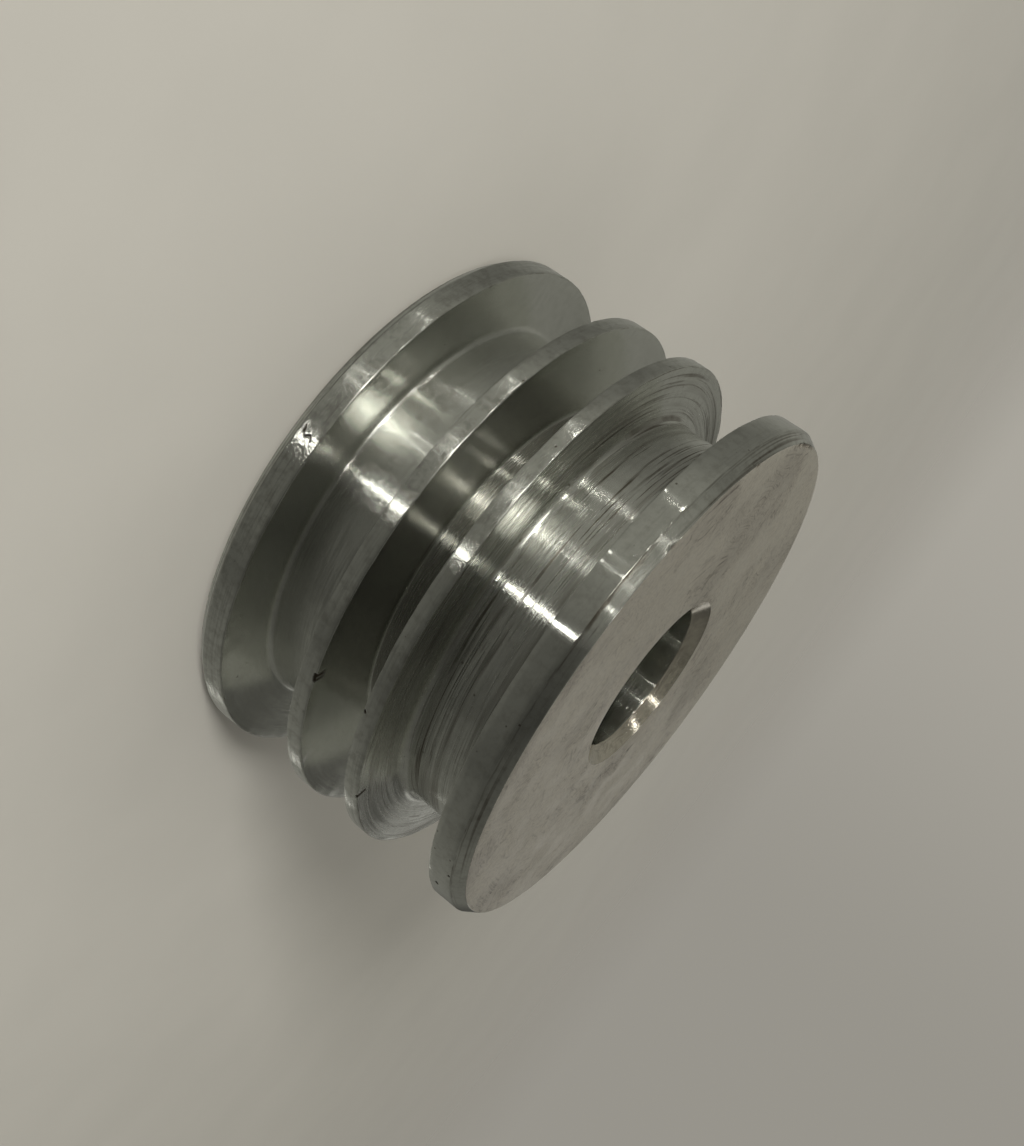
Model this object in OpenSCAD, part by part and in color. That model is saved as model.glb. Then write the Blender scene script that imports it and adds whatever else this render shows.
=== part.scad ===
// Belt pulley turned from one bar of aluminium: four flanges, three flat-bottomed
// grooves and a plain bore with a chamfer at each mouth.
// Millimetres. The bore axis is Z, and the pulley stands on its back flange at Z = 0.
// Going up from there: back flange, back groove, second flange, middle groove,
// third flange, front groove, front flange.

/* [Rim and bore] */
// Outer diameter of the lands of all four flanges
rim_d = 70; // [64:0.5:90]
// Diameter of the bore's straight wall
bore_d = 20; // [10:0.5:26]

/* [Flanges] */
// Width of the back flange at its rim, its chamfer included
back_flange_w = 4.1; // [2.5:0.1:6]
// Land width of the second flange
second_flange_w = 2.25; // [1:0.05:5]
// Land width of the third flange
third_flange_w = 2.05; // [1:0.05:5]
// Width of the front flange at its rim, its chamfer included
front_flange_w = 4.65; // [2.5:0.05:8]

/* [Back groove] */
// Width between the two rim edges
back_groove_w = 10.5; // [6:0.1:16]
// Diameter of the groove's floor
back_floor_d = 54.2; // [46:0.2:60]
// Radius of the fillets where the floor meets the flanks
back_fillet_r = 0.8; // [0.2:0.1:1.5]

/* [Middle groove] */
// Width between the two rim edges
middle_groove_w = 6.65; // [4:0.05:12]
// Diameter of the groove's floor
middle_floor_d = 47.2; // [46:0.2:60]
// Radius of the fillets where the floor meets the flanks
middle_fillet_r = 0.5; // [0.2:0.1:1]

/* [Front groove] */
// Width between the two rim edges
front_groove_w = 10.7; // [6:0.1:16]
// Diameter of the groove's floor
front_floor_d = 55.6; // [46:0.2:60]
// Radius of the fillets where the floor meets the flanks
front_fillet_r = 1.1; // [0.2:0.1:1.5]
// Slope of the third flange's upper flank away from square to the axis
front_flank_slope = 3.5; // [0:0.5:12]

/* [Chamfers] */
// Front flange, height along the axis
front_chamfer_h = 1.5; // [0.5:0.1:2]
// Front flange, depth from the land to the face's edge
front_chamfer_depth = 1; // [0.3:0.1:2]
// Back flange, height along the axis
back_chamfer_h = 1.2; // [0.5:0.1:2]
// Back flange, depth from the land to the face's edge
back_chamfer_depth = 0.9; // [0.3:0.1:2]
// Bore mouths, height along the axis
bore_chamfer_h = 1.4; // [0.5:0.1:3]
// Bore mouths, how far each opens beyond the bore's wall
bore_chamfer_depth = 2; // [0.5:0.1:3]

/* [Colour] */
// Turned aluminium: red, green and blue shares
turned_grey = [0.66, 0.65, 0.62];

/* [Hidden] */
$fn = 160;

// how far a cutting profile reaches past the surface that it cuts
over = 4;

rim_r = rim_d / 2;
bore_r = bore_d / 2;

// heights of the rim edges above the back face
back_groove_z = back_flange_w;
second_flange_z = back_groove_z + back_groove_w;
middle_groove_z = second_flange_z + second_flange_w;
third_flange_z = middle_groove_z + middle_groove_w;
front_groove_z = third_flange_z + third_flange_w;
front_flange_z = front_groove_z + front_groove_w;
pulley_l = front_flange_z + front_flange_w;

// One groove as a profile in radius and height. The upper flank is square to the
// axis. The lower one rises toward the floor by the slope angle. A true circle in
// each corner makes the fillets, so they revolve into true rings.
module groove_profile(z, w, floor_d, fillet_r, slope = 0) {
    floor_r = floor_d / 2;
    rise = (rim_r - floor_r) * tan(slope);
    low = z + rise;
    high = z + w;
    // from the corner to where the fillet leaves the floor and the lower flank
    reach = fillet_r * tan(45 - slope / 2);
    out_r = rim_r + over;
    difference() {
        union() {
            polygon([
                [floor_r, low + reach],
                [floor_r, high - fillet_r],
                [floor_r + fillet_r, high],
                [out_r, high],
                [out_r, z - over * tan(slope)],
                [floor_r + reach * cos(slope), low - reach * sin(slope)]
            ]);
            translate([floor_r + fillet_r, low + reach])
                circle(r = fillet_r);
            translate([floor_r + fillet_r, high - fillet_r])
                circle(r = fillet_r);
        }
        // the polygon's share beyond the rim stops square at the rim edge
        if (slope > 0)
            translate([rim_r, z - over])
                square([2 * over, over]);
    }
}

// Bore, outline and both outer chamfers, before any groove is cut
module blank_profile() {
    mouth_r = bore_r + bore_chamfer_depth;
    polygon([
        [mouth_r, 0],
        [rim_r - back_chamfer_depth, 0],
        [rim_r, back_chamfer_h],
        [rim_r, pulley_l - front_chamfer_h],
        [rim_r - front_chamfer_depth, pulley_l],
        [mouth_r, pulley_l],
        [bore_r, pulley_l - bore_chamfer_h],
        [bore_r, bore_chamfer_h]
    ]);
}

module pulley_profile() {
    difference() {
        blank_profile();
        groove_profile(back_groove_z, back_groove_w, back_floor_d, back_fillet_r);
        groove_profile(middle_groove_z, middle_groove_w, middle_floor_d, middle_fillet_r);
        groove_profile(front_groove_z, front_groove_w, front_floor_d, front_fillet_r, front_flank_slope);
    }
}

module pulley() {
    color(turned_grey)
        rotate_extrude()
            pulley_profile();
}

pulley();
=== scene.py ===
"""Looks of the turned aluminium belt pulley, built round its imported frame.

The pulley is one piece. Its outline is revolved by Geometry Nodes, with the turning marks
in it, then nicked and dented at the rims. Metres; the bore axis is Z, the back face Z = 0.
"""

import math

import bmesh
import bpy
from bpy.props import FloatProperty, FloatVectorProperty, IntProperty, PointerProperty
from mathutils import Matrix, Vector, noise


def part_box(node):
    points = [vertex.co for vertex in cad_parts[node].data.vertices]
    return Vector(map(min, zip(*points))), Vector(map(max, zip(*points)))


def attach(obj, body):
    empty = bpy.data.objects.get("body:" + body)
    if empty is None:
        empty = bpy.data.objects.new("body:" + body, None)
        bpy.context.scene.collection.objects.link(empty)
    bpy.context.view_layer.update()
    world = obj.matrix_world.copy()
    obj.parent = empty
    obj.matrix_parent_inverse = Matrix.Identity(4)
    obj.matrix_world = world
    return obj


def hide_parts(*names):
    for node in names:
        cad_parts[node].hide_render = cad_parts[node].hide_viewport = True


bl_info = {
    "name": "Turned belt pulley",
    "version": (1, 0, 0),
    "blender": (4, 5, 0),
    "location": "3D View > Sidebar > Pulley",
    "description": "Builds a turned aluminium belt pulley and the studio that shows it",
    "category": "Add Mesh",
}

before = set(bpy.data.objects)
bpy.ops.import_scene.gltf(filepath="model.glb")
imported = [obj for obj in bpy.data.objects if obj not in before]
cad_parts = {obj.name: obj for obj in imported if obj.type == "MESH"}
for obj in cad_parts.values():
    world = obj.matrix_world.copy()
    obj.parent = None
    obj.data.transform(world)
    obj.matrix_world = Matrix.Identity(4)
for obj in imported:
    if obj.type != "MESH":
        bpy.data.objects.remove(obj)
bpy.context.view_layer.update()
PULLEY_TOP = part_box("pulley")[1]

MM = 0.001
RIM_R = PULLEY_TOP.x
LENGTH = PULLEY_TOP.z

# the photograph's width in pixels, and its focal length as fitted to the pulley's edges
PHOTO_W = 1024
PHOTO_FOCAL_PX = 1491.76
SENSOR_MM = 36.0


# ------------ sizes and colours


def length_prop(name, text, mm):
    """A length, given in millimetres and kept in metres."""
    return FloatProperty(name=name, description=text, default=mm * MM, unit="LENGTH", precision=5)


class PulleySizes(bpy.types.PropertyGroup):
    """Sizes of the outline, as in the part's source."""

    bore_r: length_prop("Bore radius", "Radius of the bore's straight wall", 10)
    back_flange_w: length_prop("Back flange", "Width at the rim, chamfer included", 4.1)
    back_groove_w: length_prop("Back groove", "Between its rim edges", 10.5)
    second_flange_w: length_prop("Second flange", "Width of its land", 2.25)
    middle_groove_w: length_prop("Middle groove", "Between its rim edges", 6.65)
    third_flange_w: length_prop("Third flange", "Width of its land", 2.05)
    front_groove_w: length_prop("Front groove", "Between its rim edges", 10.7)
    back_floor_r: length_prop("Back floor radius", "Radius of the back groove's floor", 27.1)
    middle_floor_r: length_prop("Middle floor radius", "Radius of the middle groove's floor", 23.6)
    front_floor_r: length_prop("Front floor radius", "Radius of the front groove's floor", 27.8)
    back_fillet: length_prop("Back fillet", "Where floor and flanks meet", 0.8)
    middle_fillet: length_prop("Middle fillet", "Where floor and flanks meet", 0.5)
    front_fillet: length_prop("Front fillet", "Where floor and flanks meet", 1.1)
    front_slope: FloatProperty(
        name="Front flank slope",
        description="How far the third flange's upper flank leans from square",
        default=math.radians(3.5),
        subtype="ANGLE",
    )
    front_chamfer_h: length_prop("Front chamfer height", "Along the axis", 1.5)
    front_chamfer_depth: length_prop("Front chamfer depth", "Across the face", 1)
    back_chamfer_h: length_prop("Back chamfer height", "Along the axis", 1.2)
    back_chamfer_depth: length_prop("Back chamfer depth", "Across the face", 0.9)
    bore_chamfer_h: length_prop("Bore chamfer height", "Along the axis", 1.4)
    bore_chamfer_depth: length_prop("Bore chamfer depth", "Beyond the bore's wall", 2)
    edge_break: length_prop("Edge break", "Radius of the worn rim edges", 0.17)
    segments: IntProperty(name="Segments", description="Faces round the axis", default=312, min=24)
    ring_wave: length_prop("Ring pitch", "Distance between two turning marks", 0.55)
    ring_seed: FloatProperty(name="Ring seed", description="Draw of the turning marks", default=4)


def colour_prop(name, text, colour):
    """A colour, as linear shares of red, green and blue."""
    return FloatVectorProperty(
        name=name, description=text, default=colour, size=3, subtype="COLOR", min=0, max=1
    )


class PulleyColours(bpy.types.PropertyGroup):
    """Colours of the metal and of the studio."""

    metal: colour_prop("Aluminium", "Clean cut metal", (0.695, 0.705, 0.66))
    rubbed: colour_prop("Rubbed metal", "Metal of the rubbed faces", (0.745, 0.695, 0.6))
    # grime is also the colour of the painted shade at the rims and in the nicks and cracks
    grime: colour_prop("Grime", "Dull metal in marks and pits", (0.17, 0.145, 0.112))
    dust: colour_prop("Dust", "Dull patches of the rubbed faces", (0.225, 0.19, 0.16))
    lamps: colour_prop("Lamps", "Light of the small lamps", (1.0, 0.985, 0.92))
    floor: colour_prop("Floor", "Studio floor and backdrop", (0.42, 0.4, 0.353))
    cards: colour_prop("Cards", "What the metal mirrors, undimmed", (0.41, 0.405, 0.355))


def level_prop(name, text, level):
    """A lamp's level: how bright its own face is."""
    return FloatProperty(name=name, description=text, default=level, min=0)


class StudioLight(bpy.types.PropertyGroup):
    """Light of the studio."""

    ceiling: level_prop("Ceiling", "Level of the soft ceiling over the floor", 0.62)
    key: level_prop("Key lamp", "Level of the lamp that casts the shadow", 112.0)
    streaks: level_prop("Streak lamps", "Share of the small lamps' level", 1.0)


# ------------ node writing


class NodeWriter:
    """Adds nodes to a tree and joins them, left to right."""

    # room that a node takes in the editor
    STEP = 180

    def __init__(self, tree):
        self.tree = tree
        self.x = 0

    def add(self, kind, inputs=None, **settings):
        """A new node with its settings, its inputs fed."""
        node = self.tree.nodes.new(kind)
        node.location = (self.x, 0)
        self.x += self.STEP
        for name, value in settings.items():
            setattr(node, name, value)
        for name, value in (inputs or {}).items():
            self.feed(node.inputs[name], value)
        return node

    def feed(self, socket, value):
        """Joins a socket to an output, or sets its value."""
        if isinstance(value, bpy.types.NodeSocket):
            self.tree.links.new(value, socket)
        else:
            socket.default_value = value

    def math(self, operation, *values, clamp=False):
        node = self.add("ShaderNodeMath", dict(enumerate(values)), operation=operation)
        node.use_clamp = clamp
        return node.outputs[0]

    def whole(self, operation, *values):
        node = self.add("FunctionNodeIntegerMath", dict(enumerate(values)), operation=operation)
        return node.outputs[0]

    def vector(self, operation, *values):
        node = self.add("ShaderNodeVectorMath", operation=operation)
        for place, value in enumerate(values):
            self.feed(node.inputs[place if operation != "SCALE" or place == 0 else 3], value)
        return node.outputs["Value" if operation in ("LENGTH", "DOT_PRODUCT") else "Vector"]

    def combine(self, x, y, z):
        return self.add("ShaderNodeCombineXYZ", {0: x, 1: y, 2: z}).outputs[0]

    def separate(self, vector):
        return self.add("ShaderNodeSeparateXYZ", {0: vector}).outputs

    def ramp(self, value, low, high, to_low=0.0, to_high=1.0, smooth=True):
        """Maps a value from low..high to to_low..to_high and holds it beyond them."""
        names = ("Value", "From Min", "From Max", "To Min", "To Max")
        values = (value, low, high, to_low, to_high)
        node = self.add("ShaderNodeMapRange", dict(zip(names, values)))
        node.interpolation_type = "SMOOTHSTEP" if smooth else "LINEAR"
        return node.outputs["Result"]

    def noise(self, vector, scale, detail=2.0, rough=0.5, distortion=0.0):
        names = ("Vector", "Scale", "Detail", "Roughness", "Distortion")
        values = (vector, scale, detail, rough, distortion)
        return self.add("ShaderNodeTexNoise", dict(zip(names, values))).outputs["Fac"]

    def mix(self, share, a, b):
        """A blend of two numbers."""
        node = self.add("ShaderNodeMix", {"Factor": share}, data_type="FLOAT")
        self.feed(node.inputs[2], a)
        self.feed(node.inputs[3], b)
        return node.outputs[0]

    def mix_colour(self, share, a, b):
        """A blend of two colours."""
        node = self.add("ShaderNodeMix", {"Factor": share}, data_type="RGBA")
        self.feed(node.inputs[6], a)
        self.feed(node.inputs[7], b)
        return node.outputs[2]


# ------------ outline of the pulley

# Each zone of the surface: its finish, how far apart its outline points are, and how deep
# its turning marks are, in millimetres.
ZONE_ROWS = {
    "back_face": ("faced", 2.4, 0.0),
    "chamfer": ("chamfer", 0.3, 0.016),
    "land": ("land", 0.5, 0.003),
    "front_land": ("front_land", 0.6, 0.002),
    "smooth_flank": ("smooth_flank", 1.5, 0.0),
    "smooth_floor": ("smooth_floor", 1.4, 0.002),
    "middle_floor": ("middle_floor", 1.4, 0.002),
    "rough_flank": ("rough_flank", 0.2, 0.018),
    "rough_floor": ("rough_floor", 0.19, 0.022),
    "front_face": ("sanded_face", 1.8, 0.0),
    "mouth": ("mouth", 0.8, 0.0),
    "bore": ("bore", 2.4, 0.0),
}
ZONES = {
    name: {"finish": finish, "step": step * MM, "relief": relief * MM}
    for name, (finish, step, relief) in ZONE_ROWS.items()
}
ZONE_NAMES = list(ZONES)
# pieces of the arc at a fillet and at a broken edge; a fillet is wider than so many edges
FILLET_PIECES = 7
EDGE_PIECES = 3
FILLET_FROM = 3


def groove_corners(sizes, which, z, slope, flank, floor, land="land"):
    """The four corners of a groove, going up: radius, height, rounding and zone that follows."""
    ends = ("_groove_w", "_floor_r", "_fillet")
    width, floor_r, fillet = (getattr(sizes, which + end) for end in ends)
    edge = sizes.edge_break
    rise = (RIM_R - floor_r) * math.tan(slope)
    return [
        (RIM_R, z, edge, flank),
        (floor_r, z + rise, fillet, floor),
        (floor_r, z + width, fillet, "smooth_flank"),
        (RIM_R, z + width, edge, land),
    ]


def outline_corners(s):
    """Every corner of the pulley's outline, once round it, the metal on the left."""
    mouth = s.bore_r + s.bore_chamfer_depth
    back_z = s.back_flange_w
    middle_z = back_z + s.back_groove_w + s.second_flange_w
    front_z = middle_z + s.middle_groove_w + s.third_flange_w
    edge = s.edge_break
    rough = ("rough_flank", "rough_floor", "front_land")
    return [
        (mouth, 0, edge, "back_face"),
        (RIM_R - s.back_chamfer_depth, 0, edge, "chamfer"),
        (RIM_R, s.back_chamfer_h, edge, "land"),
        *groove_corners(s, "back", back_z, 0, "smooth_flank", "smooth_floor"),
        *groove_corners(s, "middle", middle_z, 0, "smooth_flank", "middle_floor"),
        *groove_corners(s, "front", front_z, s.front_slope, *rough),
        (RIM_R, LENGTH - s.front_chamfer_h, edge, "chamfer"),
        (RIM_R - s.front_chamfer_depth, LENGTH, edge, "front_face"),
        (mouth, LENGTH, edge, "mouth"),
        (s.bore_r, LENGTH - s.bore_chamfer_h, edge, "bore"),
        (s.bore_r, s.bore_chamfer_h, edge, "mouth"),
    ]


def round_corner(before, corner, after, radius, pieces):
    """Points along the arc that rounds a corner, its two ends included."""
    u = (before - corner).normalized()
    v = (after - corner).normalized()
    half = u.angle(v) / 2
    reach = radius / math.tan(half)
    start = corner + u * reach
    end = corner + v * reach
    centre = corner + (u + v).normalized() * (radius / math.sin(half))
    arc = []
    for i in range(pieces + 1):
        t = i / pieces
        # between the two ends of the arc, at the true radius
        direction = (start - centre).lerp(end - centre, t)
        arc.append(centre + direction.normalized() * radius)
    arc[0], arc[-1] = start, end
    return arc


def outline_points(sizes):
    """The outline's points as (radius, height) with the zone of the run that each starts."""
    corners = outline_corners(sizes)
    places = [Vector((r, z)) for r, z, _, _ in corners]
    arcs = []
    for i, (_, _, radius, _) in enumerate(corners):
        after = places[(i + 1) % len(corners)]
        pieces = FILLET_PIECES if radius > FILLET_FROM * sizes.edge_break else EDGE_PIECES
        arcs.append(round_corner(places[i - 1], places[i], after, radius, pieces))
    points = []
    for i, (_, _, _, zone) in enumerate(corners):
        before = corners[i - 1][3]
        arc = arcs[i]
        for k, place in enumerate(arc[:-1]):
            points.append((place, before if k < len(arc) // 2 else zone))
        start, end = arc[-1], arcs[(i + 1) % len(corners)][0]
        steps = max(1, round((end - start).length / ZONES[zone]["step"]))
        for k in range(steps):
            points.append((start.lerp(end, k / steps), zone))
    return points


def outline_mesh(sizes):
    """A mesh of points only, with what the revolve tree reads from each of them."""
    points = outline_points(sizes)
    mesh = bpy.data.meshes.new("pulley_outline")
    mesh.from_pydata([(p.x, 0, p.y) for p, _ in points], [], [])
    kinds = {"side": "FLOAT_VECTOR", "relief": "FLOAT", "along": "FLOAT", "zone": "INT"}
    for attribute, kind in kinds.items():
        mesh.attributes.new(attribute, kind, "POINT")
    side, depth, along, zone = (mesh.attributes[attribute] for attribute in kinds)
    travelled = 0.0
    for i, (place, name) in enumerate(points):
        tangent = (points[(i + 1) % len(points)][0] - points[i - 1][0]).normalized()
        side.data[i].vector = (tangent.y, 0, -tangent.x)
        before = points[i - 1][1]
        # marks fade out where the zone changes, so neighbours meet
        depth.data[i].value = min(ZONES[name]["relief"], ZONES[before]["relief"])
        along.data[i].value = travelled
        zone.data[i].value = ZONE_NAMES.index(name)
        travelled += (points[(i + 1) % len(points)][0] - place).length
    return mesh


# ------------ the revolve tree

# points nearer than this are one, so the seam closes
SEAM_REACH = 0.2e-6
# layers of detail in the turning marks
MARK_DETAIL = 3.0


def attribute_at(write, outline, name, kind, index):
    """The named value that the outline has at an index."""
    named = write.add("GeometryNodeInputNamedAttribute", {"Name": name}, data_type=kind)
    sample = write.add("GeometryNodeSampleIndex", data_type=kind, domain="POINT")
    write.feed(sample.inputs["Geometry"], outline)
    write.feed(sample.inputs["Value"], named.outputs["Attribute"])
    write.feed(sample.inputs["Index"], index)
    return sample.outputs["Value"]


def revolve_tree(materials):
    """Turns the outline about Z, sinks the turning marks in it and gives each zone its finish."""
    tree = bpy.data.node_groups.new("revolve_outline", "GeometryNodeTree")
    kinds = {"Outline": "Geometry", "Segments": "Int", "Ring pitch": "Float", "Ring seed": "Float"}
    for name, kind in kinds.items():
        tree.interface.new_socket(name, in_out="INPUT", socket_type="NodeSocket" + kind)
    tree.interface.new_socket("Geometry", in_out="OUTPUT", socket_type="NodeSocketGeometry")
    write = NodeWriter(tree)
    given = write.add("NodeGroupInput").outputs
    outline, segments = given["Outline"], given["Segments"]

    count = write.add("GeometryNodeAttributeDomainSize", {"Geometry": outline}, component="MESH")
    rows = count.outputs["Point Count"]
    grid = write.add(
        "GeometryNodeMeshGrid",
        {"Vertices X": write.whole("ADD", segments, 1), "Vertices Y": write.whole("ADD", rows, 1)},
    )
    index = write.add("GeometryNodeInputIndex").outputs[0]
    column = write.whole("DIVIDE_FLOOR", index, write.whole("ADD", rows, 1))
    row = write.whole("MODULO", write.whole("MODULO", index, write.whole("ADD", rows, 1)), rows)

    position = write.add("GeometryNodeInputPosition").outputs[0]
    sample = write.add(
        "GeometryNodeSampleIndex",
        {"Geometry": outline, "Index": row},
        data_type="FLOAT_VECTOR",
        domain="POINT",
    )
    write.feed(sample.inputs["Value"], position)
    along = attribute_at(write, outline, "along", "FLOAT", row)
    relief = attribute_at(write, outline, "relief", "FLOAT", row)
    side = attribute_at(write, outline, "side", "FLOAT_VECTOR", row)

    rings = write.math("DIVIDE", along, given["Ring pitch"])
    marks = write.add("ShaderNodeTexNoise", noise_dimensions="1D")
    write.feed(marks.inputs["W"], write.math("ADD", rings, given["Ring seed"]))
    write.feed(marks.inputs["Scale"], 1.0)
    write.feed(marks.inputs["Detail"], MARK_DETAIL)
    sunk = write.math("MULTIPLY", write.math("MULTIPLY", marks.outputs["Fac"], relief), -1.0)
    place = write.vector("ADD", sample.outputs["Value"], write.vector("SCALE", side, sunk))

    r, _, z = write.separate(place)
    turn = write.math("DIVIDE", write.math("MULTIPLY", column, math.tau), segments)
    turned = write.combine(
        write.math("MULTIPLY", r, write.math("COSINE", turn)),
        write.math("MULTIPLY", r, write.math("SINE", turn)),
        z,
    )
    zone = attribute_at(write, outline, "zone", "INT", write.whole("MODULO", index, rows))
    stored = write.add(
        "GeometryNodeStoreNamedAttribute",
        {"Geometry": grid.outputs["Mesh"], "Name": "zone", "Value": zone},
        data_type="INT",
        domain="FACE",
    )
    moved = write.add(
        "GeometryNodeSetPosition", {"Geometry": stored.outputs[0], "Position": turned}
    )
    joined = write.add(
        "GeometryNodeMergeByDistance", {"Geometry": moved.outputs[0], "Distance": SEAM_REACH}
    )
    smooth = write.add(
        "GeometryNodeSetShadeSmooth", {"Geometry": joined.outputs[0], "Shade Smooth": True}
    )
    shape = smooth.outputs[0]
    for number, name in enumerate(ZONE_NAMES):
        here = write.add("GeometryNodeInputNamedAttribute", {"Name": "zone"}, data_type="INT")
        same = write.add(
            "FunctionNodeCompare",
            {2: here.outputs["Attribute"], 3: number},
            data_type="INT",
            operation="EQUAL",
        )
        painted = write.add(
            "GeometryNodeSetMaterial",
            {
                "Geometry": shape,
                "Selection": same.outputs[0],
                "Material": materials[ZONES[name]["finish"]],
            },
        )
        shape = painted.outputs[0]
    write.add("NodeGroupOutput", {0: shape})
    return tree


def set_input(modifier, name, value):
    """Sets a tree's input by its socket's identifier."""
    for item in modifier.node_group.interface.items_tree:
        if item.item_type == "SOCKET" and item.in_out == "INPUT" and item.name == name:
            modifier[item.identifier] = value
            return
    raise RuntimeError(f"the tree has no input {name}")


def plain_mesh(carrier, name):
    """The evaluated object as a plain mesh object at the origin."""
    graph = bpy.context.evaluated_depsgraph_get()
    mesh = bpy.data.meshes.new_from_object(carrier.evaluated_get(graph))
    mesh.name = name
    bpy.data.objects.remove(carrier)
    piece = bpy.data.objects.new(name, mesh)
    bpy.context.scene.collection.objects.link(piece)
    return piece


# ------------ nicks and worn edges

# Each nick in a land: its angle in degrees and its height, its length round the rim and
# along the axis, its depth, and how far it wanders. Lengths in millimetres.
NICK_ROWS = {
    "split in the back land": (-89.4, 2.5, 0.3, 2.0, 0.12, 1.4),
    "chip at its foot": (-90.2, 1.75, 0.75, 0.3, 0.12, 0.5),
    "dent in the second rim": (-53.8, 16.7, 1.3, 0.4, 0.22, 0.3),
    "pit in the third rim": (-54.8, 23.8, 0.5, 0.4, 0.18, 0.3),
    "dent in the third rim": (-32.7, 25.5, 0.9, 0.35, 0.15, 0.5),
    "pit in the front land": (-23.7, 37.5, 0.8, 0.5, 0.2, 0.4),
    "second pit there": (-31.3, 39.1, 0.4, 0.4, 0.14, 0.4),
    "notch by the front chamfer": (-105.5, 38.9, 0.4, 0.5, 0.12, 0.4),
}
NICK_KEYS = ("angle", "z", "round", "up", "deep", "ragged")
NICKS = [dict(zip(NICK_KEYS, row)) for row in NICK_ROWS.values()]
# Scuffed patches of the lands, in the same measures; deep is how rough they are.
SCUFF_ROWS = {
    "scuff beside the split": (-87.9, 2.6, 4.2, 2.9, 0.008),
    "scuff on the back land": (-50.0, 2.6, 6.0, 2.6, 0.025),
    "scuff on the second land": (-27.0, 15.8, 3.0, 2.0, 0.03),
    "scuff on the third land": (-93.5, 24.7, 2.5, 1.8, 0.012),
    "scuff on the front land": (-107.5, 37.6, 3.0, 2.6, 0.01),
}
SCUFFS = [dict(zip(NICK_KEYS, row)) for row in SCUFF_ROWS.values()]
# Dents in the edge between the front face and its chamfer: angle and length in degrees,
# width and depth in millimetres.
EDGE_CRACKS = {
    "long crack": {"angle": -165.0, "span": 13.0, "wide": 0.34, "deep": 0.42},
    "notch": {"angle": -138.8, "span": 1.2, "wide": 0.35, "deep": 0.25},
    "second notch": {"angle": -111.5, "span": 1.4, "wide": 0.4, "deep": 0.3},
}
# how far inside the face's edge they lie, how far they wander, and where the mesh is refined
CRACK_INSET = 0.25 * MM
CRACK_WANDER = 0.12 * MM
CRACK_REACH = 1.2 * MM
CRACK_REACH_DOWN = 0.9 * MM
# how fast the painted shade in a nick and a crack darkens inward
NICK_SHADE = 2.2
CRACK_SHADE = 1.6

# how often an edge is halved at most, and how long it may stay, round each kind of wear
HALVINGS = 4
NICK_FINEST = 0.11 * MM
SCUFF_FINEST = 0.3 * MM
CRACK_FINEST = 0.25 * MM
# a scuff stays off the broken edges
SCUFF_DEPTH = 0.15 * MM

# The worn edges of the rims: how far the wear reaches from an edge, in edge breaks, then
# how close the waves and the chips are, how far they go inward and along the axis, in
# millimetres, and the level of noise above which the edge chips.
EDGE_REACH = 1.6
WAVE_PITCH, WAVE_IN, WAVE_UP = 0.35, 0.03, 0.07
CHIP_PITCH, CHIP_FROM, CHIP_IN = 0.9, 0.32, 0.28


def refine(bm, wanted, finest):
    """Halves the longer edges of the faces that a test picks out, until they are fine enough."""
    for _ in range(HALVINGS):
        faces = [f for f in bm.faces if wanted(f.calc_center_median())]
        edges = {e for f in faces for e in f.edges if e.calc_length() > finest}
        if not edges:
            return
        bmesh.ops.subdivide_edges(bm, edges=list(edges), cuts=1, use_grid_fill=True)


def on_rim(nick):
    """The point of the rim at a nick's angle and height."""
    turn = math.radians(nick["angle"])
    return Vector((RIM_R * math.cos(turn), RIM_R * math.sin(turn), nick["z"] * MM))


def rim_offset(point, nick):
    """Millimetres from a nick's middle to a point, round the rim and along the axis."""
    turn = math.atan2(point.y, point.x) - math.radians(nick["angle"])
    turn = (turn + math.pi) % math.tau - math.pi
    return turn * RIM_R / MM, point.z / MM - nick["z"]


def dent_shade_layer(bm):
    """How deep each point lies in a nick, as a share; the finishes paint shade there by it."""
    return bm.verts.layers.float.get("wear") or bm.verts.layers.float.new("wear")


def sink(vert, depth):
    """Moves a point of a land toward the axis by a depth in millimetres."""
    vert.co += Vector((-vert.co.x, -vert.co.y, 0)).normalized() * depth * MM


def near_verts(bm, nick, reach, finest):
    """Refines the mesh round a nick and gives the points near it."""
    centre = on_rim(nick)
    refine(bm, lambda c: (c - centre).length < reach, finest)
    return [vert for vert in bm.verts if (vert.co - centre).length < reach * 1.3]


def cut_nick(bm, nick):
    """Sinks a ragged dent in a land; how deep in it each point lies sets its painted shade."""
    reach = (0.6 * max(nick["round"], nick["up"]) + 0.5) * MM
    wear = dent_shade_layer(bm)
    for vert in near_verts(bm, nick, reach, NICK_FINEST):
        around, up = rim_offset(vert.co, nick)
        around += nick["ragged"] * 0.8 * noise.noise(Vector((up * 1.7, nick["angle"], 0)))
        wobble = 0.5 * noise.noise(Vector((around * 3.1, up * 3.7, nick["z"])))
        far = math.hypot(around / (nick["round"] * 0.5), up / (nick["up"] * 0.5)) + wobble
        share = max(0.0, 1 - far * far)
        # painted shade, darkest at the nick's middle
        vert[wear] = max(vert[wear], min(1.0, NICK_SHADE * share))
        sink(vert, nick["deep"] * share)


def scuff_land(bm, scuff):
    """Roughens a patch of a land, less toward the patch's rim."""
    reach = (0.5 * max(scuff["round"], scuff["up"]) + 0.3) * MM
    for vert in near_verts(bm, scuff, reach, SCUFF_FINEST):
        around, up = rim_offset(vert.co, scuff)
        far = math.hypot(around / (scuff["round"] * 0.5), up / (scuff["up"] * 0.5))
        rough = 0.5 + noise.noise(Vector((around * 2.6, up * 3.4, scuff["angle"])))
        if math.hypot(vert.co.x, vert.co.y) > RIM_R - SCUFF_DEPTH:
            sink(vert, scuff["deep"] * rough * max(0.0, 1 - far * far))


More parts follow.
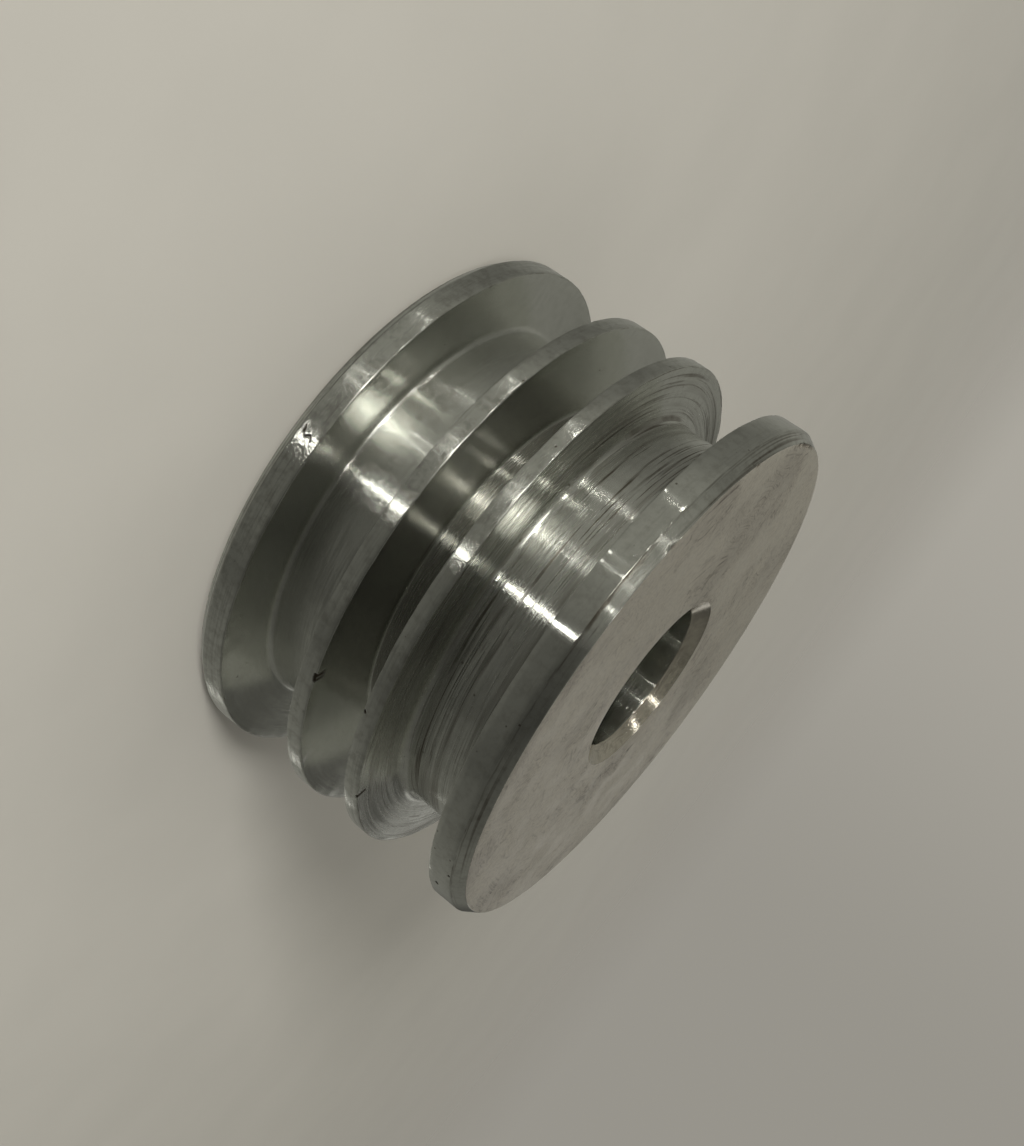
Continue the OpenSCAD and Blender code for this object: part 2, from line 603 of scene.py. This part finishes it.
def wear_edges(bm, sizes):
    """Makes the rim's sharp edges slightly wavy, with small chips here and there."""
    heights = [z for r, z, _, _ in outline_corners(sizes) if r == RIM_R]
    reach = EDGE_REACH * sizes.edge_break
    for vert in bm.verts:
        radius = math.hypot(vert.co.x, vert.co.y)
        if radius < RIM_R - reach:
            continue
        edge = min(heights, key=lambda z: abs(vert.co.z - z))
        near = 1 - abs(vert.co.z - edge) / reach
        if near <= 0:
            continue
        around = Vector((vert.co.x, vert.co.y, edge * 7)) / MM
        wave = noise.noise(around * WAVE_PITCH)
        chip = max(0.0, noise.noise(around * CHIP_PITCH + Vector((9, 0, 0))) - CHIP_FROM)
        inward = near * (WAVE_IN * abs(wave) + CHIP_IN * chip) * MM
        vert.co.x *= 1 - inward / radius
        vert.co.y *= 1 - inward / radius
        vert.co.z += near * WAVE_UP * wave * MM


def cut_edge_crack(bm, crack):
    """Sinks a thin ragged line just inside the front face's outer edge, with painted shade."""
    edge_r = RIM_R - bpy.context.scene.pulley_sizes.front_chamfer_depth - CRACK_INSET
    wear = dent_shade_layer(bm)
    middle = math.radians(crack["angle"])
    half = math.radians(crack["span"]) / 2

    def place(point):
        turn = (math.atan2(point.y, point.x) - middle + math.pi) % math.tau - math.pi
        return turn, math.hypot(point.x, point.y) - edge_r

    def near(point):
        turn, out = place(point)
        if abs(turn) >= half * 1.15 or abs(out) >= CRACK_REACH:
            return False
        return point.z > LENGTH - CRACK_REACH_DOWN

    refine(bm, near, CRACK_FINEST)
    for vert in bm.verts:
        if not near(vert.co):
            continue
        turn, out = place(vert.co)
        wander = CRACK_WANDER * noise.noise(Vector((turn * 60, 3.1, crack["angle"])))
        across = abs(out - wander) / (crack["wide"] * MM)
        ends = max(0.0, 1 - (turn / half) ** 2)
        ragged = 0.6 + 0.8 * noise.noise(Vector((turn * 140, 0.4, crack["angle"])))
        share = max(0.0, 1 - across * across) * ends**0.5 * max(0.1, ragged)
        # painted shade, darkest along the crack's middle
        vert[wear] = max(vert[wear], min(1.0, CRACK_SHADE * share))
        vert.co.z -= crack["deep"] * MM * share


def nick_rims(piece):
    """Wears the edges, then adds each scuff, nick and crack, and turns every face outward."""
    bm = bmesh.new()
    bm.from_mesh(piece.data)
    dent_shade_layer(bm)
    wear_edges(bm, bpy.context.scene.pulley_sizes)
    for scuff in SCUFFS:
        scuff_land(bm, scuff)
    for nick in NICKS:
        cut_nick(bm, nick)
    for crack in EDGE_CRACKS.values():
        cut_edge_crack(bm, crack)
    bmesh.ops.recalc_face_normals(bm, faces=bm.faces)
    if bm.calc_volume(signed=True) < 0:
        bmesh.ops.reverse_faces(bm, faces=bm.faces)
    for face in bm.faces:
        face.smooth = True
    bm.to_mesh(piece.data)
    bm.free()


# ------------ finishes of the metal

# Each turned finish: roughness from and to, marks per metre, how deep they are, how often
# they break off, how much grime lies in them, and how grainy, mottled and pitted the metal
# is. Only some have a line of painted shade at the rim, dark bands, a dull whole, a cover
# (how few of the marks hold grime) or another tone of the clean metal.
FINISH_KEYS = ("rough", "marks", "depth", "breaks", "grime", "grain", "mottle", "pits")
FINISH_ROWS = {
    "land": ((0.12, 0.24), 900, 0.12, 4, 0.12, 1.3, 0.26, 0.5),
    "front_land": ((0.09, 0.12), 900, 0.07, 4, 0.1, 0.1, 0.2, 0.8),
    "chamfer": ((0.1, 0.15), 1500, 0.35, 1.2, 0.8, 0.15, 0.25, 0.2),
    "smooth_flank": ((0.19, 0.25), 1800, 0.05, 4, 0.05, 0.12, 0.12, 0.5),
    "smooth_floor": ((0.14, 0.26), 1500, 0.12, 5, 0.08, 2.0, 0.1, 0.25),
    "middle_floor": ((0.15, 0.3), 1500, 0.12, 5, 0.08, 0.5, 0.1, 0.2),
    "rough_flank": ((0.16, 0.28), 1050, 0.3, 2, 0.7, 0.15, 0.2, 0.4),
    "rough_floor": ((0.12, 0.27), 950, 0.35, 2.5, 0.85, 0.2, 0.15, 0.4),
    "bore": ((0.13, 0.2), 1400, 0.15, 3, 0.3, 0.1, 0.2, 0.2),
    "mouth": ((0.16, 0.24), 1400, 0.3, 3, 0.4, 0.3, 0.3, 0.2),
}
FINISH_EXTRAS = {
    "chamfer": {"cover": 0.55, "rim": 0.5},
    "smooth_flank": {"rim": 0.8},
    "middle_floor": {"dull": 0.45},
    "rough_flank": {"rim": 0.8, "bands": 0.5},
    "rough_floor": {"bands": 0.6},
    "mouth": {"tone": "rubbed"},
}
FINISHES = {
    name: dict(zip(FINISH_KEYS, row)) | FINISH_EXTRAS.get(name, {})
    for name, row in FINISH_ROWS.items()
}
# The faces that were rubbed flat by hand. Patches and scratches are counted to the metre.
RUBBED = {
    "sanded_face": {"rough": (0.28, 0.42), "patch": 240, "scratch": 2600, "depth": 0.9},
    "faced": {"rough": (0.34, 0.46), "patch": 110, "scratch": 2000, "depth": 0.4},
}
# rubbed metal also scatters a little light
RUBBED_METALLIC = 0.88
SCRATCH_TURNS = (0.3, 0.9, 1.9, 2.6)
SCRATCH_SWIRL = 1.4
SCRATCH_STRETCH = (1.0, 0.22, 1.0)

# Levels of noise between which each kind of mark comes up. Fine lines lie in the broad
# rings, bands in their patches, and the hairs make the metal rough.
LINE_LEVELS = (0.5, 0.7)
BROAD_LEVELS = (0.42, 0.62)
MOTTLE_LEVELS = (0.4, 0.72)
GRAIN_LEVELS = (0.5, 0.78)
BAND_LEVELS = (0.5, 0.66)
BAND_PATCH_LEVELS = (0.35, 0.6)
HAIR_LEVELS = (0.34, 0.66)
# the same for the rubbed faces, and how much dust scratches, broad and fine film hold
SCRATCH_LEVELS = (0.55, 0.72)
PATCH_LEVELS = (0.4, 0.62)
FILM_LEVELS = (0.45, 0.66)
FINE_LEVELS = (0.4, 0.7)
SCRATCH_DUST, FILM_DUST, FINE_DUST = 0.75, 0.24, 0.22
# how dark a pit is, and how soft its rim
PIT_SHADE = 0.85
PIT_SOFT = 0.03

# the height that a bump of full strength stands for
BUMP_HEIGHT = 0.02 * MM
# the share of a full turn that sets the glints across the rings
GLINT_TURN = 0.25
# how fast the rings follow each other across a face, beside those along the axis
FACE_RINGS = 0.77
# cells of noise per metre
MOTTLE_SCALE = 900.0
GRAIN_SCALE = 7000.0
PIT_SCALE = 1000.0
RAGGED_SCALE = 500.0
BAND_PATCH_SCALE = 60.0
# share of the cells that hold a pit where pits is 1, and the size of the largest pit
PIT_CELLS = 0.3
PIT_SIZE = 0.15
# how much rougher the metal is under grime and painted shade, and in a nick
GRIME_ROUGH = 0.08
NICK_ROUGH = 0.5
# the painted shade line inside a rim's edge: how far in it starts and is full, how far it
# wanders, and where the bright edge takes over
RIM_SHADE_LINE = (0.34 * MM, 0.22 * MM)
RIM_SHADE_WANDER = 0.3 * MM
RIM_BRIGHT = (0.11 * MM, 0.05 * MM)


def new_material(name):
    """An empty material, and the writer of its nodes."""
    material = bpy.data.materials.new(name)
    material.use_nodes = True
    material.node_tree.nodes.clear()
    return material, NodeWriter(material.node_tree)


def metal_shader(write, colour, roughness, height, depth, stretch=1.0, metallic=1.0):
    """The bare metal's shader and the material's output; stretch draws the glints out."""
    bump = write.add(
        "ShaderNodeBump", {"Height": height, "Strength": depth, "Distance": BUMP_HEIGHT}
    )
    shader = write.add(
        "ShaderNodeBsdfPrincipled",
        {
            "Base Color": colour,
            "Metallic": metallic,
            "Roughness": roughness,
            "Anisotropic": stretch,
            "Anisotropic Rotation": GLINT_TURN,
            "Normal": bump.outputs[0],
        },
    )
    write.add("ShaderNodeOutputMaterial", {"Surface": shader.outputs[0]})


def along_rings(write, place):
    """A place's run across the rings, its direction from the axis and its radius."""
    x, y, z = write.separate(place)
    radius = write.vector("LENGTH", write.combine(x, y, 0.0))
    across = write.math("ADD", z, write.math("MULTIPLY", radius, FACE_RINGS))
    return across, write.math("DIVIDE", x, radius), write.math("DIVIDE", y, radius), radius


def ring_noise(write, rings, per_metre, breaks, detail=2.0, rough=0.5, shift=0.0):
    """Noise drawn out into rings, which change about breaks times a radian round the axis."""
    across, x, y, _ = rings
    line = write.math("ADD", write.math("MULTIPLY", across, per_metre), shift)
    x, y = (write.math("MULTIPLY", side, breaks) for side in (x, y))
    where = write.combine(line, x, y)
    return write.noise(where, 1.0, detail=detail, rough=rough)


def pits_mask(write, place, share):
    """Small round pits, a few to each square centimetre."""
    cells = write.add("ShaderNodeTexVoronoi", {"Vector": place, "Scale": PIT_SCALE})
    draw = write.separate(cells.outputs["Color"])[0]
    size = write.ramp(draw, 1 - PIT_CELLS * share, 1.0, 0.0, PIT_SIZE, smooth=False)
    size = write.math("SUBTRACT", size, cells.outputs["Distance"])
    return write.ramp(size, -PIT_SOFT, PIT_SOFT, 0.0, PIT_SHADE)


def turned_finish(name, look, colours):
    """Metal off the lathe: rings round the axis, with grime in them, grain, mottling, pits."""
    material, write = new_material(name)
    place = write.add("ShaderNodeTexCoord").outputs["Object"]
    rings = along_rings(write, place)
    marks = look["marks"]
    # the shifts keep the layers of rings apart
    broad = ring_noise(write, rings, marks * 0.4, 0.5)
    cuts = ring_noise(write, rings, marks, 1.2, detail=4.0, rough=0.7, shift=31.0)
    hairs = ring_noise(write, rings, marks * 5, look["breaks"], shift=7.0)
    mottle = write.noise(place, MOTTLE_SCALE, detail=4.0, rough=0.65)
    grain = write.ramp(write.noise(place, GRAIN_SCALE, detail=1.0), *GRAIN_LEVELS)
    pits = pits_mask(write, place, look["pits"])

    # grime lies in thin lines, thickest where the cuts are broad
    thick = write.ramp(broad, *BROAD_LEVELS)
    lines = write.math("MULTIPLY", write.ramp(hairs, *LINE_LEVELS), thick)
    cover = look.get("cover", 0.6)
    deep = write.math("MAXIMUM", lines, write.ramp(cuts, cover, cover + 0.1))
    grime_and_shade = write.math("MULTIPLY", deep, look["grime"])
    stain = write.math("MULTIPLY", write.ramp(mottle, *MOTTLE_LEVELS), look["mottle"])
    grime_and_shade = write.math("ADD", grime_and_shade, stain, clamp=True)
    if "bands" in look:
        band = ring_noise(write, rings, marks * 0.7, 0.9, detail=3.0, rough=0.6, shift=53.0)
        band = write.ramp(band, *BAND_LEVELS, 0.0, look["bands"])
        patchy = write.noise(place, BAND_PATCH_SCALE)
        patchy = write.ramp(patchy, *BAND_PATCH_LEVELS, 0.4, 1.0)
        grime_and_shade = write.math("MAXIMUM", grime_and_shade, write.math("MULTIPLY", band, patchy))
    grime_and_shade = write.math("MAXIMUM", grime_and_shade, look.get("dull", 0.0))
    grime_and_shade = write.math("MAXIMUM", grime_and_shade, pits)
    if "rim" in look:
        # painted shade: a dark, ragged line just inside the rim's edge
        radius = rings[3]
        wander = write.math("MULTIPLY", write.noise(place, RAGGED_SCALE), RIM_SHADE_WANDER)
        start = write.math("SUBTRACT", radius, wander)
        rim = write.ramp(start, *(RIM_R - inset for inset in RIM_SHADE_LINE), 0.0, look["rim"])
        edge = write.ramp(radius, *(RIM_R - inset for inset in RIM_BRIGHT), 1.0, 0.1)
        grime_and_shade = write.math("MAXIMUM", grime_and_shade, write.math("MULTIPLY", rim, edge))
    # painted shade in the nicks and cracks; they are also made rougher
    worn = write.add("ShaderNodeAttribute", attribute_name="wear").outputs["Fac"]
    grime_and_shade = write.math("MAXIMUM", grime_and_shade, worn)
    clean = getattr(colours, look.get("tone", "metal"))
    colour = write.mix_colour(grime_and_shade, (*clean, 1), (*colours.grime, 1))

    low, high = look["rough"]
    roughness = write.ramp(hairs, *HAIR_LEVELS, low, high)
    roughness = write.math("ADD", roughness, write.math("MULTIPLY", grime_and_shade, GRIME_ROUGH))
    rougher = write.math("MULTIPLY", worn, NICK_ROUGH)
    roughness = write.math("ADD", roughness, rougher, clamp=True)
    relief = write.math("ADD", cuts, write.math("MULTIPLY", grain, look["grain"]))
    relief = write.math("SUBTRACT", relief, pits)
    metal_shader(write, colour, roughness, relief, look["depth"])
    return material


def rubbed_finish(name, look, colours):
    """Metal rubbed flat on abrasive paper: short scratches every way, in dull patches."""
    material, write = new_material(name)
    place = write.add("ShaderNodeTexCoord").outputs["Object"]
    swirl = write.noise(place, look["patch"] * 0.35, detail=1.0)
    scratches = None
    for turn in SCRATCH_TURNS:
        angle = write.math("ADD", write.math("MULTIPLY", swirl, SCRATCH_SWIRL), turn)
        turned = write.add(
            "ShaderNodeVectorRotate", {"Vector": place, "Angle": angle}, rotation_type="Z_AXIS"
        )
        drawn = write.vector("MULTIPLY", turned.outputs[0], SCRATCH_STRETCH)
        layer = write.noise(drawn, look["scratch"], detail=3.0, rough=0.65)
        scratches = layer if scratches is None else write.math("MAXIMUM", scratches, layer)
    patches = write.noise(place, look["patch"], detail=6.0, rough=0.7, distortion=0.3)
    broad = write.noise(place, look["patch"] * 0.3, detail=3.0)
    fine = write.noise(place, look["scratch"] * 0.9, detail=4.0, rough=0.7)
    # the scratches hold most dust where both kinds of patches are strong
    held = write.ramp(patches, *PATCH_LEVELS, 0.35, 1.0)
    held = write.math("MULTIPLY", held, write.ramp(broad, *PATCH_LEVELS, 0.4, 1.0))
    lines = write.ramp(scratches, *SCRATCH_LEVELS, 0.0, SCRATCH_DUST)
    lines = write.math("MULTIPLY", lines, held)
    film = write.ramp(broad, *FILM_LEVELS, 0.0, FILM_DUST)
    film = write.math("ADD", write.ramp(fine, *FINE_LEVELS, 0.0, FINE_DUST), film)
    dull = write.math("ADD", lines, film, clamp=True)
    colour = write.mix_colour(dull, (*colours.rubbed, 1), (*colours.dust, 1))
    # painted shade in the cracks and nicks
    worn = write.add("ShaderNodeAttribute", attribute_name="wear").outputs["Fac"]
    colour = write.mix_colour(worn, colour, (*colours.grime, 1))
    low, high = look["rough"]
    roughness = write.ramp(patches, 0.3, 0.7, low, high)
    relief = write.math("ADD", scratches, write.math("MULTIPLY", patches, 0.5))
    metal_shader(
        write, colour, roughness, relief, look["depth"], stretch=0.0, metallic=RUBBED_METALLIC
    )
    return material


def make_finishes(colours):
    """Every finish by its name."""
    made = {name: turned_finish(name, look, colours) for name, look in FINISHES.items()}
    made.update({name: rubbed_finish(name, look, colours) for name, look in RUBBED.items()})
    return made


class PULLEY_OT_body(bpy.types.Operator):
    """Build the pulley: revolve its outline, sink its turning marks and nick its rims"""

    bl_idname = "pulley.body"
    bl_label = "Build pulley"

    def execute(self, context):
        sizes = context.scene.pulley_sizes
        materials = make_finishes(context.scene.pulley_colours)
        carrier = bpy.data.objects.new("pulley_outline", outline_mesh(sizes))
        context.scene.collection.objects.link(carrier)
        modifier = carrier.modifiers.new("revolve", "NODES")
        modifier.node_group = revolve_tree(materials)
        set_input(modifier, "Segments", sizes.segments)
        set_input(modifier, "Ring pitch", sizes.ring_wave)
        set_input(modifier, "Ring seed", sizes.ring_seed)
        piece = plain_mesh(carrier, "turned_pulley")
        if not piece.data.polygons:
            raise RuntimeError("the revolve tree gave no faces")
        nick_rims(piece)
        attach(piece, "root")
        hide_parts("pulley")
        return {"FINISHED"}


# ------------ studio

CAMERA_PLACE = Vector((0.0, -176.93, 76.76)) * MM
CAMERA_RIGHT = Vector((-0.5917, 0.2496, 0.7666))
CAMERA_UP = Vector((-0.8062, -0.1892, -0.5606))

# how far the floor reaches, where it starts to fade and is gone, and its slight shading
FLOOR_REACH = 2.4
FLOOR_FADE = (0.12, 0.65)
FLOOR_SHADES = (0.985, 1.015)
FLOOR_SCALE = 40.0
# The backdrop shows these shares of the floor's colour, in its dim part and in its lit one.
# The lit one comes up between the first two bearings and goes down between the last two.
BACKDROP_SHARES = (0.74, 0.95)
LIT_BEARINGS = (84, 106, 127, 180)

# The share of the backdrop that the metal mirrors at each bearing from +X. Dark cards hide
# the rest, as things in a room do: low ones round the floor's level, tall ones above it.
LOW_CARDS = [
    (-180, 0.38), (-160, 0.55), (-125, 0.6), (-100, 0.42), (-82, 0.3), (-50, 0.3),
    (-22, 0.22), (-16, 0.3), (20, 0.42), (55, 0.55), (95, 0.7), (125, 0.55), (146, 0.4),
    (152, 0.3), (180, 0.38),
]
TALL_CARDS = [
    (-180, 0.45), (-160, 0.6), (-125, 0.66), (-100, 0.46), (-82, 0.16), (-40, 0.12),
    (-20, 0.18), (10, 0.22), (30, 0.34), (55, 0.34), (72, 0.15), (80, 0.15), (98, 0.5),
    (125, 0.6), (146, 0.4), (180, 0.38),
]
# elevations where the low cards give way to the tall ones, and those to the ceiling, and
# the share of the backdrop that the ceiling shows
CARDS_STEP = (-22, -6)
CARDS_TOP = (58, 76)
CEILING_SHARE = 0.42

# Small lamps that streak the metal: bearing, elevation, width and height in degrees seen
# from the pulley, level, and how far the top leans toward a larger bearing. The upright
# rims mirror those below the floor's level, the flanks and the bore's mouth those above.
LAMPS = {
    "near_low": (-87.5, -21, 1.4, 22, 15, 0),
    "near_high": (-88.3, 17.5, 0.8, 12, 32, 0),
    "twin_left": (-121.4, -25, 0.6, 10, 5, 8),
    "twin_right": (-116.8, -26.5, 0.6, 9, 4.4, 9),
    "middle_low": (-114.8, -3, 0.6, 6, 28, 0),
    "far_low": (-155.4, -23.7, 0.6, 10, 4, 22),
    "far_middle": (-149.4, 0, 0.7, 10, 38, 0),
    "soft_high": (-118.5, 31, 21, 8, 7, 0),
    "slim_high": (-117.5, 15.5, 4, 5, 27, 0),
    "side_high": (-139, 20, 1.4, 9, 22, 0),
    "top_left": (-151.5, 52, 1.3, 8, 7, 0),
    "top_middle": (-122, 52, 1.2, 8, 1.3, 0),
    "top_right": (-107.5, 52, 1.2, 8, 3.4, 0),
    "window": (46, -22, 3, 12, 0.9, 0),
    "face_soft": (76, 10, 30, 10, 0.4, 0),
    "mouth_left": (136, 63, 2.5, 2.5, 30, 0),
    "mouth_right": (118, 78, 2.5, 2.5, 30, 0),
}
LAMP_DISTANCE = 1.5
# the lamps over the floor
CEILING_HEIGHT = 2.0
CEILING_SIZE = (4.0, 4.0)
KEY_PLACE = {"bearing": -111, "rise": 14, "distance": 0.8}
KEY_SIZE = (0.2, 0.2)


def card_ramp(write, turn, cards):
    """The share that the cards leave at a bearing, given as a share of the full turn."""
    node = write.add("ShaderNodeValToRGB", {"Fac": turn})
    stops = node.color_ramp
    stops.interpolation = "EASE"
    while len(stops.elements) < len(cards):
        stops.elements.new(0.5)
    for stop, (degrees, share) in zip(stops.elements, cards):
        stop.position = (degrees + 180) / 360
        stop.color = (share, share, share, 1)
    return node.outputs["Color"]


def studio_world(colours):
    """The plain backdrop, with dark cards before it for every ray but the camera's own."""
    world = bpy.data.worlds.new("studio")
    world.use_nodes = True
    write = NodeWriter(world.node_tree)
    world.node_tree.nodes.clear()
    x, y, z = write.separate(write.add("ShaderNodeTexCoord").outputs["Generated"])
    bearing = write.math("DEGREES", write.math("ARCTAN2", y, x))
    elevation = write.math("DEGREES", write.math("ARCSINE", z))

    turn = write.ramp(bearing, -180, 180, smooth=False)
    low, tall = (card_ramp(write, turn, cards) for cards in (LOW_CARDS, TALL_CARDS))
    share = write.mix(write.ramp(elevation, *CARDS_STEP), low, tall)
    share = write.mix(write.ramp(elevation, *CARDS_TOP), share, CEILING_SHARE)
    path = write.add("ShaderNodeLightPath").outputs
    mirrored = write.vector("SCALE", tuple(colours.cards), share)
    dark, full, fading, gone = LIT_BEARINGS
    ends = write.ramp(bearing, dark, full), write.ramp(bearing, gone, fading)
    lit = write.math("MINIMUM", *ends)
    backdrop = write.vector("SCALE", tuple(colours.floor), write.mix(lit, *BACKDROP_SHARES))
    shown = write.mix_colour(path["Is Camera Ray"], mirrored, backdrop)
    glow = write.add("ShaderNodeBackground", {"Color": shown, "Strength": 1.0})
    write.add("ShaderNodeOutputWorld", {"Surface": glow.outputs[0]})
    bpy.context.scene.world = world


def floor_material(colours):
    """Plain pale floor that fades into the backdrop far from the pulley."""
    material, write = new_material("studio_floor")
    place = write.add("ShaderNodeTexCoord").outputs["Object"]
    grain = write.noise(place, FLOOR_SCALE, detail=3.0)
    shade = write.ramp(grain, 0.3, 0.7, *FLOOR_SHADES)
    colour = write.vector("SCALE", tuple(colours.floor), shade)
    surface = write.add(
        "ShaderNodeBsdfPrincipled",
        {"Base Color": colour, "Roughness": 0.8, "Specular IOR Level": 0.2},
    )
    clear = write.add("ShaderNodeBsdfTransparent")
    far = write.ramp(write.vector("LENGTH", place), *FLOOR_FADE)
    blend = write.add("ShaderNodeMixShader", {0: far, 1: surface.outputs[0], 2: clear.outputs[0]})
    write.add("ShaderNodeOutputMaterial", {"Surface": blend.outputs[0]})
    return material


def add_floor(colours):
    """A level floor that casts no shadow on the lamps below it and isn't mirrored."""
    mesh = bpy.data.meshes.new("studio_floor")
    bm = bmesh.new()
    bmesh.ops.create_circle(bm, cap_ends=True, segments=96, radius=FLOOR_REACH)
    bm.to_mesh(mesh)
    bm.free()
    floor = bpy.data.objects.new("studio_floor", mesh)
    bpy.context.scene.collection.objects.link(floor)
    floor.data.materials.append(floor_material(colours))
    # the upright rims mirror the lamps that lie below the floor's level
    floor.visible_glossy = False
    floor.visible_shadow = False


def add_lamp(name, place, size, level, lean=0.0):
    """An oval lamp that faces the pulley's middle; level is how bright its own face is."""
    lamp = bpy.data.lights.new(name, "AREA")
    lamp.shape = "ELLIPSE"
    lamp.size, lamp.size_y = size
    # pi / 4 of the oval's box is its area, and its even glow sends out pi times the level
    lamp.energy = level * math.pi * math.pi / 4 * lamp.size * lamp.size_y
    middle = Vector((0, 0, LENGTH / 2))
    stand = bpy.data.objects.new(name, lamp)
    facing = place.to_track_quat("Z", "Y").to_matrix().to_4x4()
    leaning = Matrix.Rotation(math.radians(-lean), 4, "Z")
    stand.matrix_world = Matrix.Translation(place + middle) @ facing @ leaning
    stand.visible_camera = False
    bpy.context.scene.collection.objects.link(stand)
    return stand


def from_bearing(bearing, rise, distance):
    """The place at a bearing and an elevation, in degrees, as far from the origin."""
    turn, lift = math.radians(bearing), math.radians(rise)
    flat = distance * math.cos(lift)
    return Vector((flat * math.cos(turn), flat * math.sin(turn), distance * math.sin(lift)))


def add_streak_lamp(name, power, colour):
    """A small lamp, at the common distance."""
    bearing, rise, wide, tall, level, lean = LAMPS[name]
    size = [2 * LAMP_DISTANCE * math.tan(math.radians(angle) / 2) for angle in (wide, tall)]
    place = from_bearing(bearing, rise, LAMP_DISTANCE)
    stand = add_lamp(name, place, size, level * power, lean)
    stand.data.color = colour


def add_floor_lamps(light):
    """The soft ceiling and the key lamp over the floor; the metal doesn't mirror them."""
    ceiling = add_lamp("ceiling", Vector((0, 0, CEILING_HEIGHT)), CEILING_SIZE, light.ceiling)
    key = add_lamp("key", from_bearing(**KEY_PLACE), KEY_SIZE, light.key)
    for stand in (ceiling, key):
        stand.visible_glossy = False


def add_camera():
    """The camera, at the photograph's angle to the pulley."""
    camera = bpy.data.cameras.new("view")
    camera.sensor_fit = "HORIZONTAL"
    camera.sensor_width = SENSOR_MM
    camera.lens = PHOTO_FOCAL_PX * SENSOR_MM / PHOTO_W
    camera.clip_start = 0.01
    stand = bpy.data.objects.new("view", camera)
    right = CAMERA_RIGHT.normalized()
    back = right.cross(CAMERA_UP).normalized()
    up = back.cross(right)
    turned = Matrix((right, up, back)).transposed().to_4x4()
    stand.matrix_world = Matrix.Translation(CAMERA_PLACE) @ turned
    bpy.context.scene.collection.objects.link(stand)
    bpy.context.scene.camera = stand


class PULLEY_OT_stage(bpy.types.Operator):
    """Set the floor, the room that the metal mirrors, the lamps and the camera"""

    bl_idname = "pulley.stage"
    bl_label = "Build studio"

    def execute(self, context):
        light = context.scene.pulley_light
        colours = context.scene.pulley_colours
        context.scene.view_settings.view_transform = "Standard"
        studio_world(colours)
        add_floor(colours)
        for name in LAMPS:
            add_streak_lamp(name, light.streaks, colours.lamps)
        add_floor_lamps(light)
        add_camera()
        return {"FINISHED"}


class PULLEY_PT_sidebar(bpy.types.Panel):
    """Lists the sizes, colours and steps of the pulley"""

    bl_idname = "PULLEY_PT_sidebar"
    bl_label = "Pulley"
    bl_space_type = "VIEW_3D"
    bl_region_type = "UI"
    bl_category = "Pulley"

    def draw(self, context):
        for key in GROUPS:
            group = getattr(context.scene, key)
            box = self.layout.box()
            for name in group.bl_rna.properties.keys():
                if name not in ("rna_type", "name"):
                    box.prop(group, name)
        for operator in OPERATORS:
            self.layout.operator(operator.bl_idname)


GROUPS = {"pulley_sizes": PulleySizes, "pulley_colours": PulleyColours, "pulley_light": StudioLight}
OPERATORS = [PULLEY_OT_body, PULLEY_OT_stage]


def register():
    for cls in [*GROUPS.values(), *OPERATORS, PULLEY_PT_sidebar]:
        bpy.utils.register_class(cls)
    for name, group in GROUPS.items():
        setattr(bpy.types.Scene, name, PointerProperty(type=group))


def unregister():
    for name in GROUPS:
        delattr(bpy.types.Scene, name)
    for cls in reversed([*GROUPS.values(), *OPERATORS, PULLEY_PT_sidebar]):
        bpy.utils.unregister_class(cls)


def main():
    register()
    bpy.ops.pulley.body()
    bpy.ops.pulley.stage()


if __name__ == "__main__":
    main()
